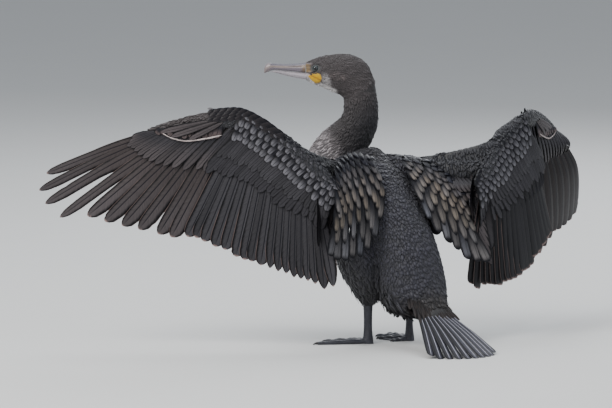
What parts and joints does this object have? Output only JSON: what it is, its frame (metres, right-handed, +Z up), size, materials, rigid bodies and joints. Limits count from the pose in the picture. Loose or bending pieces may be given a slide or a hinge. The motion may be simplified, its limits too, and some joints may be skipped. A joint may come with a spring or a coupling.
{
  "type": "cormorant figure",
  "caption": "Life-size standing cormorant drying its half-spread wings, head turned left, tail tips resting on the floor.",
  "frame": {"origin": "the middle of the bounding box, on the floor the bird stands on", "axes": "+X to the viewer's right along the wider spread of the wings, +Y away from the viewer, +Z up; the body heads 32 degrees left of +Y"},
  "size_m": [0.8816, 0.6478, 0.463],
  "materials": {
    "back_feathers": "matte feathers, dark bluish grey",
    "neck_feathers": "matte feathers, dark brownish grey",
    "head_feathers": "matte feathers, brownish grey",
    "bill_horn": "satin horn, pale grey",
    "eye": "glossy",
    "tail_feathers": "feathers, slate grey",
    "wing_coverts": "feathers, grey-brown with dark edges",
    "flight_feathers": "feathers, blackish brown",
    "leg_skin": "scaly skin, blackish"
  },
  "bodies": {
    "root": {"torso": "back_feathers", "neck_lower": "neck_feathers", "neck_upper": "neck_feathers", "head": "head_feathers", "bill_upper": "bill_horn", "bill_lower": "bill_horn", "eye_left": "eye", "eye_right": "eye", "tail": "tail_feathers", "scapulars_left": "wing_coverts", "scapulars_right": "wing_coverts", "wing_left_arm": "wing_coverts", "wing_left_forearm": "flight_feathers", "wing_left_hand": "flight_feathers", "wing_right_arm": "wing_coverts", "wing_right_forearm": "flight_feathers", "wing_right_hand": "flight_feathers", "thigh_left": "back_feathers", "thigh_right": "back_feathers", "tarsus_left": "leg_skin", "tarsus_right": "leg_skin", "foot_left": "leg_skin", "foot_right": "leg_skin"}
  },
  "joints": []
}
